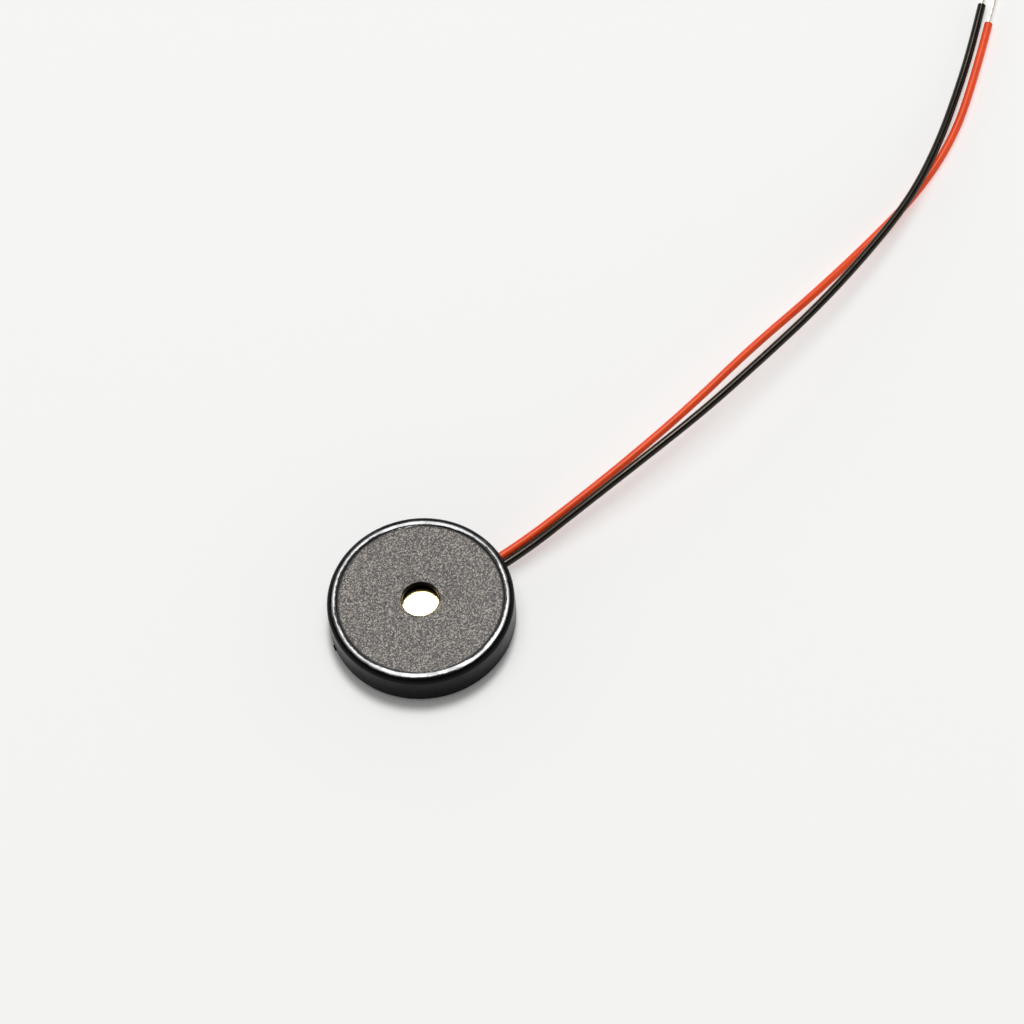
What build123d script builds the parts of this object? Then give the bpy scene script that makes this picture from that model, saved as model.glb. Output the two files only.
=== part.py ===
from build123d import *
import os
from math import cos, radians, sin, tan

os.makedirs("parts", exist_ok=True)

# Piezo buzzer: a round case, face up, with a sounding disc inside and two wire leads.
# Millimetres. The origin is the centre of the case's underside, and the leads leave along +X.

# Case, outside
case_diameter = 22.0
case_height = 4.4
rim_rounding = 0.75
rim_land = 0.35
face_recess = 0.12
foot_chamfer = 0.15
face_thickness = 0.8
sound_hole_diameter = 4.4
sound_hole_rounding = 0.08

# Sounding disc and the ledge that it is glued to
plate_diameter = 20.0
plate_thickness = 0.2
plate_clearance = 0.15
ledge_width = 0.75
front_chamber_depth = 0.3
adhesive_thickness = 0.1
adhesive_setback = 0.1
brass_border = 3.0
ceramic_thickness = 0.22
electrode_border = 0.4
electrode_thickness = 0.05

# Back cover and its seat
cover_thickness = 0.8
cover_seat_width = 0.35
cover_clearance = 0.05
cover_edge_break = 0.1

# Leads. The conductor is as thick as its seven 0.127 mm strands would be in one.
lead_diameter = 1.0
lead_gap = 0.1
lead_height = 1.7
lead_inside = 2.3
lead_straight = 2.6
conductor_diameter = 0.34
conductor_clearance = 0.035
bare_length = 4.0

# Lead slot in the case wall, and its sealant
slot_margin = 0.15
slot_corner = 0.4
seal_recess = 0.05
seal_bead = 0.45
seal_clearance = 0.03

# Solder joints: the red one on the silver, the black one on the brass beyond the ceramic
red_joint_radius = 4.6
black_joint_angle = -29.0
solder_radius = 0.8
solder_height = 0.65
solder_overlap = 0.3
solder_clearance = 0.03
wire_under_solder = 0.27

# Gate mark on the case's lower edge
gate_width = 0.6
gate_height = 0.45
gate_depth = 0.12
gate_angle = 168.0

case_radius = case_diameter / 2
face_level = case_height - face_recess
ceiling_level = face_level - face_thickness
ledge_level = ceiling_level - front_chamber_depth
plate_level = ledge_level - adhesive_thickness - plate_thickness
ceramic_level = plate_level - ceramic_thickness
electrode_level = ceramic_level - electrode_thickness

hole_radius = sound_hole_diameter / 2
plate_radius = plate_diameter / 2
ceramic_radius = plate_radius - brass_border
chamber_radius = plate_radius + plate_clearance
ledge_radius = chamber_radius - ledge_width
seat_radius = chamber_radius + cover_seat_width
rim_inner_radius = case_radius - rim_rounding - rim_land
face_radius = rim_inner_radius - face_recess
lead_spacing = lead_diameter + lead_gap
slot_width = lead_spacing + lead_diameter + 2 * slot_margin
slot_top = lead_height + lead_diameter / 2 + slot_margin

# Each lead is a route of points, from inside the case to the end of its insulation.
red_side = lead_spacing / 2
black_side = -lead_spacing / 2
red_route = [
    (case_radius - lead_inside, red_side, lead_height),
    (case_radius + lead_straight, red_side, lead_height),
    (22.07, 1.2, 2.39),
    (31.56, 2.24, 3.11),
    (41.04, 3.99, 3.09),
    (50.52, 6.45, 2.68),
    (60.51, 8.51, 1.96),
    (70.0, 11.0, 0.95),
    (79.5, 13.7, 0.52),
    (87.7, 17.6, 0.52),
    (94.75, 23.25, 0.52),
    (100.55, 28.6, 0.52),
]
black_route = [
    (case_radius - lead_inside, black_side, lead_height),
    (case_radius + lead_straight, black_side, lead_height),
    (22.46, 0.06, 2.95),
    (31.96, 0.87, 3.85),
    (41.48, 2.14, 3.88),
    (51.0, 4.25, 3.4),
    (60.5, 6.5, 3.0),
    (70.0, 9.6, 2.5),
    (78.5, 13.1, 1.9),
    (85.6, 17.65, 1.25),
    (92.35, 23.1, 0.56),
    (97.45, 27.5, 0.52),
    (101.4, 31.25, 0.52),
]

# Each conductor goes on inwards from its insulation to its solder joint.
red_wire_level = electrode_level - wire_under_solder
black_wire_level = plate_level - wire_under_solder
black_joint_radius = plate_radius - brass_border / 2
black_joint_x = black_joint_radius * cos(radians(black_joint_angle))
black_joint_y = black_joint_radius * sin(radians(black_joint_angle))
red_inner_route = [
    (red_joint_radius, red_side, red_wire_level),
    (red_joint_radius + 1.5, red_side, red_wire_level),
    (case_radius - lead_inside - 1.0, red_side, lead_height),
]
black_inner_route = [
    (black_joint_x, black_joint_y, black_wire_level),
    (black_joint_x - 0.25, black_joint_y + 1.1, black_wire_level),
    (black_joint_x - 0.5, black_joint_y + 2.1, lead_height + 0.4),
    (black_joint_x - 0.3, black_joint_y + 3.1, lead_height + 0.08),
    (case_radius - lead_inside - 0.7, black_side, lead_height),
]


def corner_radii(route):
    """Radius of the arc at each inner point: the largest that its two runs allow."""
    points = [Vector(*point) for point in route]
    radii = []
    for before, corner, after in zip(points, points[1:], points[2:]):
        arriving = corner - before
        leaving = after - corner
        shorter = min(arriving.length, leaving.length)
        radii.append(0.45 * shorter / tan(radians(arriving.get_angle(leaving) / 2)))
    return radii


def past_end(route, distance):
    """The point this far beyond the route's last point, in line with its last run."""
    last = Vector(*route[-1])
    direction = (last - Vector(*route[-2])).normalized()
    return tuple(last + direction * distance)


def lead_insulation(route):
    """Insulation tube along a lead's route, with a bore for its conductor."""
    with BuildPart() as insulation:
        with BuildLine() as path:
            FilletPolyline(*route, radius=corner_radii(route))
        with BuildSketch(path.line ^ 0):
            Circle(lead_diameter / 2)
            Circle(conductor_diameter / 2 + conductor_clearance, mode=Mode.SUBTRACT)
        sweep(path=path.line)
    return insulation


def lead_conductor(inner_route, route):
    """Conductor from its solder joint, through the insulation, to its bare end."""
    whole_route = [*inner_route, *route[1:-1], past_end(route, bare_length)]
    inner_radii = corner_radii([*inner_route, route[1]])
    with BuildPart() as conductor:
        with BuildLine() as path:
            FilletPolyline(*whole_route, radius=[*inner_radii, *corner_radii(route)])
        with BuildSketch(path.line ^ 0):
            Circle(conductor_diameter / 2)
        sweep(path=path.line)
    return conductor


def solder_joint(level, inner_route):
    """Domed solder joint that hangs from the level, with the conductor's end laid in it."""
    start = Vector(*inner_route[0])
    along_wire = (Vector(*inner_route[1]) - start).normalized()
    middle = start + along_wire * solder_overlap
    top_centre = (middle.X, middle.Y, level)
    with BuildPart() as dome:
        with BuildSketch(Plane(origin=top_centre, x_dir=(1, 1, 0), z_dir=(1, -1, 0))):
            with BuildLine():
                Line((0, -solder_height), (0, 0))
                Line((0, 0), (solder_radius, 0))
                ThreePointArc(
                    (solder_radius, 0),
                    (0.68 * solder_radius, -0.68 * solder_height),
                    (0, -solder_height),
                )
            make_face()
        revolve(axis=Axis(top_centre, (0, 0, 1)))
        with BuildSketch(Plane(origin=start, z_dir=along_wire)):
            Circle(conductor_diameter / 2 + solder_clearance)
        extrude(amount=2 * solder_radius, mode=Mode.SUBTRACT)
    return dome


# Case: turned section, then the slot for the leads and the gate mark
with BuildPart() as case:
    with BuildSketch(Plane.XZ):
        with BuildLine():
            Polyline(
                (case_radius, case_height - rim_rounding),
                (case_radius, foot_chamfer),
                (case_radius - foot_chamfer, 0),
                (seat_radius, 0),
                (seat_radius, cover_thickness),
                (chamber_radius, cover_thickness),
                (chamber_radius, ledge_level),
                (ledge_radius, ledge_level),
                (ledge_radius, ceiling_level),
                (hole_radius, ceiling_level),
                (hole_radius, face_level - sound_hole_rounding),
            )
            RadiusArc(
                (hole_radius, face_level - sound_hole_rounding),
                (hole_radius + sound_hole_rounding, face_level),
                sound_hole_rounding,
            )
            Polyline(
                (hole_radius + sound_hole_rounding, face_level),
                (face_radius, face_level),
                (rim_inner_radius, case_height),
                (case_radius - rim_rounding, case_height),
            )
            RadiusArc(
                (case_radius - rim_rounding, case_height),
                (case_radius, case_height - rim_rounding),
                rim_rounding,
            )
        make_face()
    revolve(axis=Axis.Z)
    with BuildSketch(Plane.YZ.offset(ledge_radius)):
        with Locations((0, slot_top / 2)):
            Rectangle(slot_width, slot_top)
        fillet(vertices().group_by(Axis.Y)[-1], slot_corner)
    extrude(amount=case_radius, mode=Mode.SUBTRACT)
    with BuildSketch(Plane.XY):
        with PolarLocations(case_radius - gate_depth, 1, start_angle=gate_angle):
            Rectangle(4 * gate_depth, gate_width)
    extrude(amount=gate_height)
case.part.label = "case"
export_step(case.part, "parts/case.step")

# Back cover, set flush into its seat in the case's underside
with BuildPart() as back_cover:
    with BuildSketch():
        Circle(seat_radius - cover_clearance)
    extrude(amount=cover_thickness)
    chamfer(edges().group_by(Axis.Z)[0], cover_edge_break)
back_cover.part.label = "back_cover"
export_step(back_cover.part, "parts/back_cover.step")

# Sounding disc, from the ledge downwards: adhesive, brass plate, ceramic, silver electrode
with BuildPart() as adhesive_ring:
    with BuildSketch(Plane.XY.offset(ledge_level - adhesive_thickness)):
        Circle(plate_radius - adhesive_setback)
        Circle(ledge_radius + adhesive_setback, mode=Mode.SUBTRACT)
    extrude(amount=adhesive_thickness)
adhesive_ring.part.label = "adhesive_ring"
export_step(adhesive_ring.part, "parts/adhesive_ring.step")

with BuildPart() as brass_plate:
    with BuildSketch(Plane.XY.offset(plate_level)):
        Circle(plate_radius)
    extrude(amount=plate_thickness)
brass_plate.part.label = "brass_plate"
export_step(brass_plate.part, "parts/brass_plate.step")

with BuildPart() as piezo_ceramic:
    with BuildSketch(Plane.XY.offset(ceramic_level)):
        Circle(ceramic_radius)
    extrude(amount=ceramic_thickness)
piezo_ceramic.part.label = "piezo_ceramic"
export_step(piezo_ceramic.part, "parts/piezo_ceramic.step")

with BuildPart() as silver_electrode:
    with BuildSketch(Plane.XY.offset(electrode_level)):
        Circle(ceramic_radius - electrode_border)
    extrude(amount=electrode_thickness)
silver_electrode.part.label = "silver_electrode"
export_step(silver_electrode.part, "parts/silver_electrode.step")

# Leads
red_lead = lead_insulation(red_route)
red_lead.part.label = "red_lead"
export_step(red_lead.part, "parts/red_lead.step")

black_lead = lead_insulation(black_route)
black_lead.part.label = "black_lead"
export_step(black_lead.part, "parts/black_lead.step")

red_conductor = lead_conductor(red_inner_route, red_route)
red_conductor.part.label = "red_conductor"
export_step(red_conductor.part, "parts/red_conductor.step")

black_conductor = lead_conductor(black_inner_route, black_route)
black_conductor.part.label = "black_conductor"
export_step(black_conductor.part, "parts/black_conductor.step")

# Solder joints
red_solder_joint = solder_joint(electrode_level, red_inner_route)
red_solder_joint.part.label = "red_solder_joint"
export_step(red_solder_joint.part, "parts/red_solder_joint.step")

black_solder_joint = solder_joint(plate_level, black_inner_route)
black_solder_joint.part.label = "black_solder_joint"
export_step(black_solder_joint.part, "parts/black_solder_joint.step")

# Sealant: fills the slot round both leads, and stops against the cover's rim
with BuildPart() as lead_sealant:
    with BuildSketch(Plane.YZ.offset(chamber_radius - seal_bead)):
        with Locations((0, slot_top / 2)):
            Rectangle(slot_width, slot_top)
        fillet(vertices().group_by(Axis.Y)[-1], slot_corner)
    extrude(amount=case_radius)
    with BuildSketch(Plane.XY):
        Circle(case_radius - seal_recess)
    extrude(amount=slot_top, mode=Mode.INTERSECT)
    with BuildSketch(Plane.XY):
        Circle(seat_radius)
    extrude(amount=cover_thickness, mode=Mode.SUBTRACT)
    with BuildSketch(Plane.YZ):
        with Locations((-lead_spacing / 2, lead_height), (lead_spacing / 2, lead_height)):
            Circle(lead_diameter / 2 + seal_clearance)
    extrude(amount=2 * case_radius, mode=Mode.SUBTRACT)
lead_sealant.part.label = "lead_sealant"
export_step(lead_sealant.part, "parts/lead_sealant.step")

for name, route in (("red", red_route), ("black", black_route)):
    print(name, "lead arc radii:", [round(radius, 1) for radius in corner_radii(route)])
for name, inner_route in (("red", red_inner_route), ("black", black_inner_route)):
    print(name, "inner wire radii:", [round(radius, 1) for radius in corner_radii(inner_route)])
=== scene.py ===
import math

import bpy
import numpy as np
from mathutils import Matrix, Vector, noise


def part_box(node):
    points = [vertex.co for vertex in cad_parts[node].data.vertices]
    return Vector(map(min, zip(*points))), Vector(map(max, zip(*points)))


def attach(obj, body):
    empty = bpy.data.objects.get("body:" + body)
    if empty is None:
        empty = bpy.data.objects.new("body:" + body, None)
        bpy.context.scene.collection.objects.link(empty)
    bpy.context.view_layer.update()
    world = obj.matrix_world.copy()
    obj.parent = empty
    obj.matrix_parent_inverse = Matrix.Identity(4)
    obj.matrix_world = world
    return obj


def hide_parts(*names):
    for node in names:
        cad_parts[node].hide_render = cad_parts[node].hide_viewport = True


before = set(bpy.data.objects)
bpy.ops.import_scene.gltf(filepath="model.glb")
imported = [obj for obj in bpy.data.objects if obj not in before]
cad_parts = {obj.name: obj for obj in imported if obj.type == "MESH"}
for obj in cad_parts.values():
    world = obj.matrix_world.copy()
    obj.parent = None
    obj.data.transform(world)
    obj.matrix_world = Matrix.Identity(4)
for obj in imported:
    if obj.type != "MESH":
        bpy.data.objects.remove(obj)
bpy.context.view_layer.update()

# The looks of a piezo buzzer with two wire leads. Metres, in the CAD frame: the origin is the
# centre of the case's underside, +Z is up, and the leads leave along +X.

# Camera: the floor point in the middle of its view, and how it looks there
CAMERA_AIM = Vector((0.01619, 0.00562, 0.0))
CAMERA_DISTANCE = 0.944
CAMERA_HEADING = 63.0
CAMERA_ELEVATION = 61.2
CAMERA_ROLL = -7.05
CAMERA_LENS = 281.25

# Leads
LEAD_DIAMETER = 0.001
RED_ROUTE = [
    (0.0087, 0.00055, 0.0017),
    (0.0136, 0.00055, 0.0017),
    (0.02207, 0.00120, 0.00239),
    (0.03156, 0.00224, 0.00311),
    (0.04104, 0.00399, 0.00309),
    (0.05052, 0.00645, 0.00268),
    (0.06051, 0.00851, 0.00196),
    (0.0700, 0.01100, 0.00095),
    (0.0795, 0.01370, 0.00052),
    (0.0877, 0.01760, 0.00052),
    (0.09475, 0.02325, 0.00052),
    (0.10055, 0.02860, 0.00052),
]
BLACK_ROUTE = [
    (0.0087, -0.00055, 0.0017),
    (0.0136, -0.00055, 0.0017),
    (0.02246, 0.00006, 0.00295),
    (0.03196, 0.00087, 0.00385),
    (0.04148, 0.00214, 0.00388),
    (0.0510, 0.00425, 0.0034),
    (0.0605, 0.00650, 0.0030),
    (0.0700, 0.00960, 0.0025),
    (0.0785, 0.01310, 0.0019),
    (0.0856, 0.01765, 0.00125),
    (0.09235, 0.02310, 0.00056),
    (0.09745, 0.02750, 0.00052),
    (0.1014, 0.03125, 0.00052),
]

# Conductors: seven twisted strands, from a solder joint inside the case to the bare end
RED_INNER_ROUTE = [
    (0.0046, 0.00055, 0.00234),
    (0.0061, 0.00055, 0.00234),
    (0.0077, 0.00055, 0.0017),
]
BLACK_INNER_ROUTE = [
    (0.007434, -0.004121, 0.00261),
    (0.007184, -0.003021, 0.00261),
    (0.006934, -0.002021, 0.0021),
    (0.007134, -0.001021, 0.00178),
    (0.0080, -0.00055, 0.0017),
]
BARE_LENGTH = 0.004
CURVE_STEPS = 28
TUBE_STEPS = 7
STRAND_DIAMETER = 0.000127
STRANDS_AROUND = 6
STRAND_SIDES = 8
TWIST_LENGTH = 0.0055
SPLAY_LENGTH = 0.0012
SPLAY = 0.35

# Case face: the recess inside the rim
FACE_RECESS = 0.00012
FACE_RADIUS = 0.00978
BORDER_WIDTH = 0.00012
HOLE_RADIUS = 0.0022
HOLE_ROUNDING = 0.00008

# Grain that the mould leaves on the face: a coarse and a fine noise, and a rounded-off edge
GRAIN_SIZE = 0.00030
GRAIN_HEIGHT = 0.000024
GRAIN_EDGE = 0.00012
GRAIN_RINGS = 75
GRAIN_SPOKES = 640
COARSE_SHARE = 1.3
FINE_SHARE = 0.7
FINE_SIZE = 0.45
GRAIN_RAISED = 1.1
EDGE_SUNK = 0.3

# Polished land of the rim, which bulges towards the face at two places
LAND_RADIUS = 0.01032
LAND_HALF_WIDTH = 0.0002
LAND_BLEND = 0.0001
LAND_WANDER = 0.00009
LAND_DULLED = 0.65
BULGE_HEADING = 63.0
BULGE_RADIUS = 0.01008
BULGE_HALF_WIDTH = 0.0003
BULGE_SHARPNESS = 6.0
RIM_FOOT = 0.0039

# Light: a small key and a broad fill, both behind the object as the camera sees it
LIGHT_DISTANCE = 4.0
KEY_BEYOND_VERTICAL = 21.0
KEY_TURN = -10.0
KEY_WIDTH = 0.9
KEY_DEPTH = 1.2
KEY_WATTS = 88.0
FILL_BEYOND_VERTICAL = 14.0
FILL_WIDTH = 3.4
FILL_DEPTH = 4.4
FILL_WATTS = 77.0

# Surroundings: pale walls, which turn dark between these two heights on a sphere of radius 1
WALL_COLOUR = (0.92, 0.92, 0.91)
CEILING_COLOUR = (0.04, 0.04, 0.04)
WALL_TOP = 0.22
CEILING_EDGE = 0.5

# Floor, just under the object
FLOOR_COLOUR = (0.86, 0.86, 0.85)
FLOOR_SIZE = 2.6
FLOOR_GAP = 0.00002


# Camera

def heading_vector(degrees):
    """Level direction at this angle from +X."""
    angle = math.radians(degrees)
    return Vector((math.cos(angle), math.sin(angle), 0.0))


def add_camera():
    data = bpy.data.cameras.new("camera")
    data.lens = CAMERA_LENS
    data.sensor_width = 36.0
    data.clip_start = 0.01
    data.clip_end = 50.0
    camera = bpy.data.objects.new("camera", data)
    bpy.context.scene.collection.objects.link(camera)
    elevation = math.radians(CAMERA_ELEVATION)
    roll = math.radians(CAMERA_ROLL)
    view = heading_vector(CAMERA_HEADING) * math.cos(elevation)
    view.z = -math.sin(elevation)
    level_right = view.cross(Vector((0.0, 0.0, 1.0))).normalized()
    level_up = level_right.cross(view)
    right = level_right * math.cos(roll) + level_up * math.sin(roll)
    up = right.cross(view)
    turn = Matrix((right, up, -view)).transposed().to_4x4()
    camera.matrix_world = Matrix.Translation(CAMERA_AIM - view * CAMERA_DISTANCE) @ turn
    bpy.context.scene.camera = camera


# Leads

def add_object(name, data):
    piece = bpy.data.objects.new(name, data)
    bpy.context.scene.collection.objects.link(piece)
    return piece


def route_curve(name, route, radius=0.0):
    """Smooth tube along a route, whose points are the control points of one NURBS spline.

    The points hold the tube's radius, because the curve's box reaches that far round them.
    """
    data = bpy.data.curves.new(name, "CURVE")
    data.dimensions = "3D"
    data.resolution_u = CURVE_STEPS
    data.bevel_depth = 1.0 if radius else 0.0
    data.bevel_resolution = TUBE_STEPS
    data.use_fill_caps = True
    spline = data.splines.new("NURBS")
    spline.points.add(len(route) - 1)
    for point, place in zip(spline.points, route):
        point.co = (*place, 1.0)
        point.radius = radius
    spline.order_u = 3
    spline.use_endpoint_u = True
    return add_object(name, data)


def route_line(route):
    """Points along a route's smooth curve."""
    curve = route_curve("line", route)
    mesh = bpy.data.meshes.new_from_object(curve)
    line = np.array([vertex.co for vertex in mesh.vertices])
    bpy.data.objects.remove(curve)
    bpy.data.meshes.remove(mesh)
    return line


def smooth_mesh(name, vertices, faces):
    mesh = bpy.data.meshes.new(name)
    mesh.from_pydata(vertices, [], faces)
    mesh.polygons.foreach_set("use_smooth", [True] * len(mesh.polygons))
    mesh.update()
    return add_object(name, mesh)


def crosswise_axes(line):
    """Two axes square to the line at each of its points, which turn no more than it does."""
    tangents = np.gradient(line, axis=0)
    tangents /= np.linalg.norm(tangents, axis=1)[:, None]
    side = np.cross(tangents[0], (0.0, 0.0, 1.0))
    sides = []
    for tangent in tangents:
        side = side - tangent * (side @ tangent)
        side /= np.linalg.norm(side)
        sides.append(side)
    sides = np.array(sides)
    return sides, np.cross(tangents, sides)


def tube(centres, sides, ups, radius, vertices, faces):
    """Adds a closed tube round a line of centres."""
    first = len(vertices)
    turns = [2 * math.pi * step / STRAND_SIDES for step in range(STRAND_SIDES)]
    for centre, side, up in zip(centres, sides, ups):
        for turn in turns:
            vertices.append(centre + radius * (math.cos(turn) * side + math.sin(turn) * up))
    for ring in range(len(centres) - 1):
        start = first + ring * STRAND_SIDES
        for step in range(STRAND_SIDES):
            after = (step + 1) % STRAND_SIDES
            faces.append((start + step, start + after,
                          start + STRAND_SIDES + after, start + STRAND_SIDES + step))
    faces.append([first + step for step in reversed(range(STRAND_SIDES))])
    last = first + (len(centres) - 1) * STRAND_SIDES
    faces.append([last + step for step in range(STRAND_SIDES)])


def add_strands(name, inner_route, route):
    """One straight strand in the middle and six twisted round it, which splay at the cut end."""
    end = Vector(route[-1])
    bare_end = end + (end - Vector(route[-2])).normalized() * BARE_LENGTH
    line = route_line([*inner_route, *route[1:-1], tuple(bare_end)])
    sides, ups = crosswise_axes(line)
    steps = np.linalg.norm(np.diff(line, axis=0), axis=1)
    along = np.concatenate([[0.0], np.cumsum(steps)])
    from_end = np.clip((along[-1] - along) / SPLAY_LENGTH, 0.0, 1.0)
    offset = STRAND_DIAMETER * (1 + SPLAY * (1 - from_end) ** 2)
    vertices, faces = [], []
    tube(line, sides, ups, STRAND_DIAMETER / 2, vertices, faces)
    for strand in range(STRANDS_AROUND):
        angle = 2 * math.pi * (along / TWIST_LENGTH + strand / STRANDS_AROUND)
        across = np.cos(angle)[:, None] * sides + np.sin(angle)[:, None] * ups
        tube(line + offset[:, None] * across, sides, ups, STRAND_DIAMETER / 2, vertices, faces)
    return smooth_mesh(name, vertices, faces)


def add_lead(colour, inner_route, route):
    insulation = route_curve(colour + "_insulation", route, LEAD_DIAMETER / 2)
    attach(insulation, "root")
    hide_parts(colour + "_lead")
    strands = add_strands(colour + "_strands", inner_route, route)
    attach(strands, "root")
    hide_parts(colour + "_conductor")
    return insulation, strands


# Case face

def grain(x, y):
    """Height of the moulded grain, from about -1 to 1."""
    coarse = noise.noise(Vector((x, y, 0.0)) / GRAIN_SIZE)
    fine = noise.noise(Vector((y, x, GRAIN_SIZE)) / (FINE_SIZE * GRAIN_SIZE))
    return COARSE_SHARE * coarse + FINE_SHARE * fine


def add_face_grain():
    """Skin of raised grain on the face, whose edges run down into it, inside a plain border."""
    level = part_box("case")[1].z - FACE_RECESS
    inner = HOLE_RADIUS + HOLE_ROUNDING
    outer = FACE_RADIUS - BORDER_WIDTH
    vertices, faces = [], []
    for ring in range(GRAIN_RINGS + 1):
        radius = inner + (outer - inner) * ring / GRAIN_RINGS
        to_edge = min(radius - inner, outer - radius)
        rise = min(1.0, to_edge / GRAIN_EDGE)
        for spoke in range(GRAIN_SPOKES):
            angle = 2 * math.pi * spoke / GRAIN_SPOKES
            x, y = radius * math.cos(angle), radius * math.sin(angle)
            raised = rise * (grain(x, y) + GRAIN_RAISED) - EDGE_SUNK * (1 - rise)
            vertices.append((x, y, level + GRAIN_HEIGHT * raised))
    for ring in range(GRAIN_RINGS):
        start = ring * GRAIN_SPOKES
        for spoke in range(GRAIN_SPOKES):
            after = (spoke + 1) % GRAIN_SPOKES
            faces.append((start + spoke, start + GRAIN_SPOKES + spoke,
                          start + GRAIN_SPOKES + after, start + after))
    skin = smooth_mesh("face_grain", vertices, faces)
    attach(skin, "root")
    return skin


# Materials

class Finish:
    """A material, with short calls to add nodes and join them."""

    def __init__(self, name, colour, roughness, metallic=0.0, ior=1.5):
        self.material = bpy.data.materials.new(name)
        self.material.use_nodes = True
        self.tree = self.material.node_tree
        self.surface = self.tree.nodes["Principled BSDF"]
        self.surface.inputs["Base Color"].default_value = (*colour, 1.0)
        self.surface.inputs["Roughness"].default_value = roughness
        self.surface.inputs["Metallic"].default_value = metallic
        self.surface.inputs["IOR"].default_value = ior
        self.place = self.node("ShaderNodeTexCoord").outputs["Object"]
        self.normal = None

    def node(self, kind, inputs=(), **settings):
        made = self.tree.nodes.new(kind)
        for setting, value in settings.items():
            setattr(made, setting, value)
        for socket, value in dict(inputs).items():
            if isinstance(value, bpy.types.NodeSocket):
                self.tree.links.new(value, made.inputs[socket])
            else:
                made.inputs[socket].default_value = value
        return made

    def noise(self, size, detail=2.0, roughness=0.5, place=None):
        """Noise from 0 to 1 whose spots are about this large."""
        inputs = {"Vector": place or self.place, "Scale": 1.0 / size,
                  "Detail": detail, "Roughness": roughness}
        return self.node("ShaderNodeTexNoise", inputs).outputs["Fac"]

    def stretched(self, along, across, height):
        """Coordinates in which a pattern runs long along X, so that it looks drawn out."""
        inputs = {"Vector": self.place, "Scale": (1.0 / along, 1.0 / across, 1.0 / height)}
        return self.node("ShaderNodeMapping", inputs).outputs["Vector"]

    def range(self, value, low, high, to_low, to_high):
        inputs = {"Value": value, "From Min": low, "From Max": high,
                  "To Min": to_low, "To Max": to_high}
        return self.node("ShaderNodeMapRange", inputs).outputs["Result"]

    def colours(self, value, *stops):
        """Colour from a value, through stops of (position, colour)."""
        made = self.node("ShaderNodeValToRGB", {"Fac": value})
        ramp = made.color_ramp.elements
        for element, (position, colour) in zip(ramp, (stops[0], stops[-1])):
            element.position = position
            element.color = (*colour, 1.0)
        for position, colour in stops[1:-1]:
            ramp.new(position).color = (*colour, 1.0)
        return made.outputs["Color"]

    def math(self, operation, first, second=0.0):
        return self.node("ShaderNodeMath", {0: first, 1: second},
                         operation=operation).outputs["Value"]

    def polished_land(self):
        """1 on the rim's polished land and 0 elsewhere; the land bulges inwards at two places."""
        apart = self.node("ShaderNodeSeparateXYZ", {"Vector": self.place}).outputs
        level = self.node("ShaderNodeCombineXYZ", {"X": apart["X"], "Y": apart["Y"]})
        radius = self.node("ShaderNodeVectorMath", {0: level.outputs["Vector"]},
                           operation="LENGTH").outputs["Value"]
        along = self.node("ShaderNodeVectorMath", {0: level.outputs["Vector"],
                                                   1: heading_vector(BULGE_HEADING)},
                          operation="DOT_PRODUCT").outputs["Value"]
        bulge = self.math("POWER", self.math("ABSOLUTE", self.math("DIVIDE", along, radius)),
                          BULGE_SHARPNESS)
        wander = self.range(self.noise(0.003, 2.0), 0.3, 0.7, -LAND_WANDER, LAND_WANDER)
        middle = self.math("ADD", self.range(bulge, 0.0, 1.0, LAND_RADIUS, BULGE_RADIUS), wander)
        off = self.math("ABSOLUTE", self.math("SUBTRACT", radius, middle))
        ragged = self.range(self.noise(0.0005, 2.0), 0.3, 0.7, 0.0, LAND_BLEND)
        width = self.range(bulge, 0.0, 1.0, LAND_HALF_WIDTH, BULGE_HALF_WIDTH)
        past = self.math("SUBTRACT", self.math("ADD", off, ragged), width)
        land = self.range(past, 0.0, LAND_BLEND, 1.0, 0.0)
        above = self.range(apart["Z"], RIM_FOOT, RIM_FOOT + LAND_BLEND, 0.0, 1.0)
        polish = self.range(self.noise(0.0014, 3.0), 0.38, 0.52, LAND_DULLED, 1.0)
        return self.math("MULTIPLY", self.math("MULTIPLY", land, above), polish)

    def bump(self, height, distance, strength=1.0):
        inputs = {"Height": height, "Distance": distance, "Strength": strength}
        if self.normal:
            inputs["Normal"] = self.normal
        self.normal = self.node("ShaderNodeBump", inputs).outputs["Normal"]
        self.join("Normal", self.normal)

    def join(self, socket, value):
        self.tree.links.new(value, self.surface.inputs[socket])


def moulded_plastic():
    """Smooth black plastic of the rim and the wall, with a polished land round the face."""
    finish = Finish("moulded_plastic", (0.003, 0.003, 0.003), 0.25)
    finish.surface.inputs["Specular IOR Level"].default_value = 0.08
    finish.surface.inputs["Coat Roughness"].default_value = 0.28
    finish.surface.inputs["Coat IOR"].default_value = 2.0
    finish.join("Coat Weight", finish.polished_land())
    broad = finish.noise(0.0025, 3.0)
    finish.join("Roughness", finish.range(broad, 0.3, 0.7, 0.2, 0.32))
    finish.bump(finish.noise(0.0009, 2.0), 0.000012)
    finish.bump(finish.noise(0.00008, 1.0), 0.0000012)
    return finish.material


def grained_plastic_painted_glints():
    """Black plastic with a spark-eroded grain, mottled with painted sheen and shade: random spots
    run from near black up to pale grey.
    """
    finish = Finish("grained_plastic_painted_glints", (0.05, 0.048, 0.046), 0.5)
    # Painted sheen and shade: the pale grey spots stand in for glints of light on the grain, and
    # the near-black ones for its shade
    spots = finish.noise(0.00019, 4.0, 0.7)
    finish.join("Base Color", finish.colours(spots, (0.40, (0.005, 0.004, 0.003)),
                                             (0.50, (0.042, 0.035, 0.028)),
                                             (0.63, (0.370, 0.318, 0.265))))
    finish.join("Roughness", finish.range(spots, 0.35, 0.65, 0.55, 0.42))
    finish.bump(finish.noise(0.00013, 2.0), 0.000008)
    return finish.material


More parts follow.
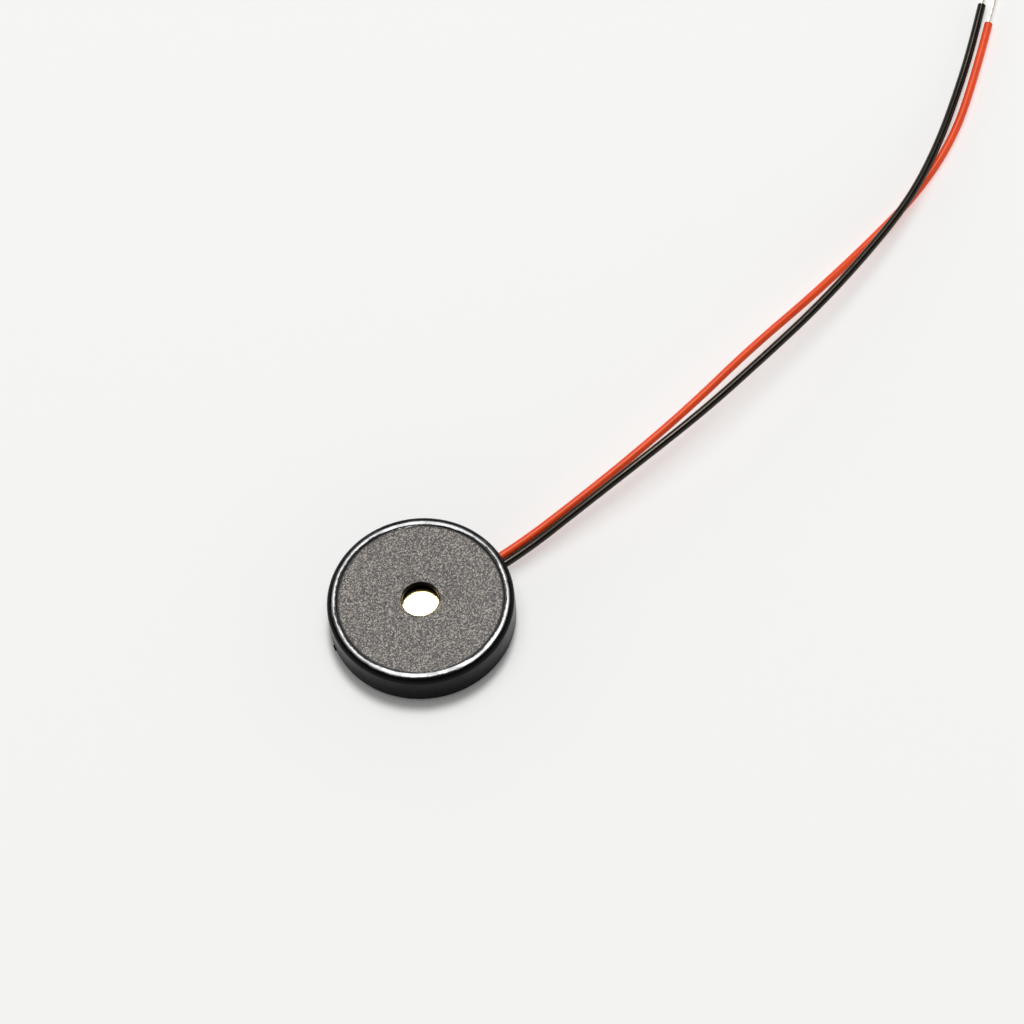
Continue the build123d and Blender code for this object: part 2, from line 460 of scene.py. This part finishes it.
def cover_plastic():
    finish = Finish("cover_plastic", (0.02, 0.02, 0.02), 0.45)
    finish.join("Roughness", finish.range(finish.noise(0.003, 3.0), 0.3, 0.7, 0.38, 0.55))
    finish.bump(finish.noise(0.0002, 2.0), 0.000006)
    return finish.material


def rolled_brass():
    """Bright brass sheet with the fine lines of its rolling."""
    finish = Finish("rolled_brass", (0.87, 0.63, 0.27), 0.08, metallic=1.0)
    lines = finish.noise(1.0, 3.0, place=finish.stretched(0.004, 0.00006, 0.001))
    finish.join("Roughness", finish.range(lines, 0.3, 0.7, 0.06, 0.14))
    finish.join("Base Color", finish.colours(finish.noise(0.004, 2.0),
                                             (0.3, (0.85, 0.60, 0.25)),
                                             (0.7, (0.90, 0.67, 0.30))))
    finish.bump(lines, 0.0000004)
    return finish.material


def tinned_copper():
    """Tin over copper, a little warm where it is thin."""
    finish = Finish("tinned_copper", (0.74, 0.72, 0.68), 0.28, metallic=1.0)
    patches = finish.noise(0.0008, 3.0)
    finish.join("Base Color", finish.colours(patches, (0.35, (0.72, 0.64, 0.50)),
                                             (0.6, (0.80, 0.78, 0.74))))
    finish.join("Roughness", finish.range(patches, 0.3, 0.7, 0.22, 0.36))
    return finish.material


def insulation(name, colour, dark, roughness, tint):
    """Extruded PVC with faint waves left by the die."""
    finish = Finish(name, colour, roughness)
    finish.surface.inputs["Specular IOR Level"].default_value = 0.35
    finish.surface.inputs["Specular Tint"].default_value = (*tint, 1.0)
    patches = finish.noise(0.003, 3.0)
    finish.join("Base Color", finish.colours(patches, (0.3, dark), (0.7, colour)))
    finish.join("Roughness", finish.range(patches, 0.3, 0.7, roughness, roughness + 0.08))
    finish.bump(finish.noise(0.0012, 2.0), 0.00001)
    finish.bump(finish.noise(0.00015, 1.0), 0.000002)
    return finish.material


def plain(name, colour, roughness, size, depth, metallic=0.0, spread=0.15, specular=0.5):
    """A finish whose colour and gloss vary a little in spots of one size."""
    finish = Finish(name, colour, roughness, metallic)
    finish.surface.inputs["Specular IOR Level"].default_value = specular
    spots = finish.noise(size, 3.0)
    darker = tuple(part * (1 - spread) for part in colour)
    finish.join("Base Color", finish.colours(spots, (0.3, darker), (0.7, colour)))
    finish.join("Roughness", finish.range(spots, 0.3, 0.7, roughness, 0.75 * roughness))
    finish.bump(spots, depth)
    return finish.material


def assign(piece, material):
    piece.data.materials.clear()
    piece.data.materials.append(material)


def assign_to_node(node, material):
    """Puts a material in each of a CAD node's slots."""
    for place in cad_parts[node].material_slots:
        place.material = material


# Floor and light

def direction(beyond_vertical, turn=0.0):
    """Direction up from the object, tipped away from the camera and turned about the vertical."""
    tip = math.radians(beyond_vertical)
    level = heading_vector(CAMERA_HEADING + turn)
    return level * math.sin(tip) + Vector((0.0, 0.0, math.cos(tip)))


def add_area_light(name, towards, width, depth, watts):
    data = bpy.data.lights.new(name, "AREA")
    data.shape = "ELLIPSE"
    data.size = width
    data.size_y = depth
    data.energy = watts
    light = add_object(name, data)
    light.location = towards * LIGHT_DISTANCE
    light.rotation_euler = towards.to_track_quat("Z", "Y").to_euler()
    return light


def pass_by(light, pieces):
    """Leaves pieces out of the shadows that a light casts; its light falls on them as before."""
    passed = bpy.data.collections.new(light.name + "_passed")
    for piece in pieces:
        passed.objects.link(piece)
    for entry in passed.collection_objects:
        entry.light_linking.link_state = "EXCLUDE"
    light.light_linking.blocker_collection = passed


def add_floor():
    half = FLOOR_SIZE / 2
    corners = [(-half, -half, -FLOOR_GAP), (half, -half, -FLOOR_GAP),
               (half, half, -FLOOR_GAP), (-half, half, -FLOOR_GAP)]
    mesh = bpy.data.meshes.new("floor")
    mesh.from_pydata(corners, [], [(0, 1, 2, 3)])
    floor = add_object("floor", mesh)
    finish = Finish("floor_paper", FLOOR_COLOUR, 0.9)
    finish.surface.inputs["Specular IOR Level"].default_value = 0.0
    floor.data.materials.append(finish.material)


def add_world():
    """Pale walls up to a dark ceiling, so that gloss has both to show."""
    world = bpy.data.worlds.new("studio")
    bpy.context.scene.world = world
    world.use_nodes = True
    nodes, links = world.node_tree.nodes, world.node_tree.links
    towards = nodes.new("ShaderNodeTexCoord")
    parts = nodes.new("ShaderNodeSeparateXYZ")
    links.new(towards.outputs["Generated"], parts.inputs["Vector"])
    height = nodes.new("ShaderNodeValToRGB")
    wall, ceiling = height.color_ramp.elements
    wall.position = WALL_TOP
    wall.color = (*WALL_COLOUR, 1.0)
    ceiling.position = CEILING_EDGE
    ceiling.color = (*CEILING_COLOUR, 1.0)
    links.new(parts.outputs["Z"], height.inputs["Fac"])
    links.new(height.outputs["Color"], nodes["Background"].inputs["Color"])


add_camera()
red_insulation, red_strands = add_lead("red", RED_INNER_ROUTE, RED_ROUTE)
black_insulation, black_strands = add_lead("black", BLACK_INNER_ROUTE, BLACK_ROUTE)
face_grain = add_face_grain()

assign(red_insulation, insulation("red_pvc", (0.80, 0.070, 0.010), (0.70, 0.056, 0.008), 0.34,
                                  (1.0, 0.9, 0.8)))
assign(black_insulation, insulation("black_pvc", (0.002, 0.002, 0.001), (0.001, 0.001, 0.001),
                                    0.23, (1.0, 0.88, 0.72)))
tin = tinned_copper()
assign(red_strands, tin)
assign(black_strands, tin)
assign(face_grain, grained_plastic_painted_glints())
assign_to_node("case", moulded_plastic())
assign_to_node("back_cover", cover_plastic())
assign_to_node("brass_plate", rolled_brass())
assign_to_node("piezo_ceramic", plain("ceramic", (0.62, 0.56, 0.45), 0.7, 0.0004, 0.000004))
assign_to_node("silver_electrode", plain("fired_silver", (0.88, 0.87, 0.84), 0.42, 0.0003,
                                         0.000003, metallic=1.0))
assign_to_node("adhesive_ring", plain("adhesive", (0.35, 0.27, 0.14), 0.35, 0.0008, 0.00001))
solder = plain("solder", (0.66, 0.66, 0.67), 0.3, 0.0003, 0.00001, metallic=1.0)
assign_to_node("red_solder_joint", solder)
assign_to_node("black_solder_joint", solder)
assign_to_node("lead_sealant", plain("sealant", (0.005, 0.005, 0.005), 0.4, 0.0006, 0.00003,
                                     specular=0.12))

add_floor()
add_world()
key = add_area_light("key", direction(KEY_BEYOND_VERTICAL, KEY_TURN), KEY_WIDTH, KEY_DEPTH,
                     KEY_WATTS)
pass_by(key, [red_insulation, red_strands, black_insulation, black_strands])
add_area_light("fill", direction(FILL_BEYOND_VERTICAL), FILL_WIDTH, FILL_DEPTH, FILL_WATTS)
bpy.context.scene.view_settings.view_transform = "Standard"

bpy.context.view_layer.update()
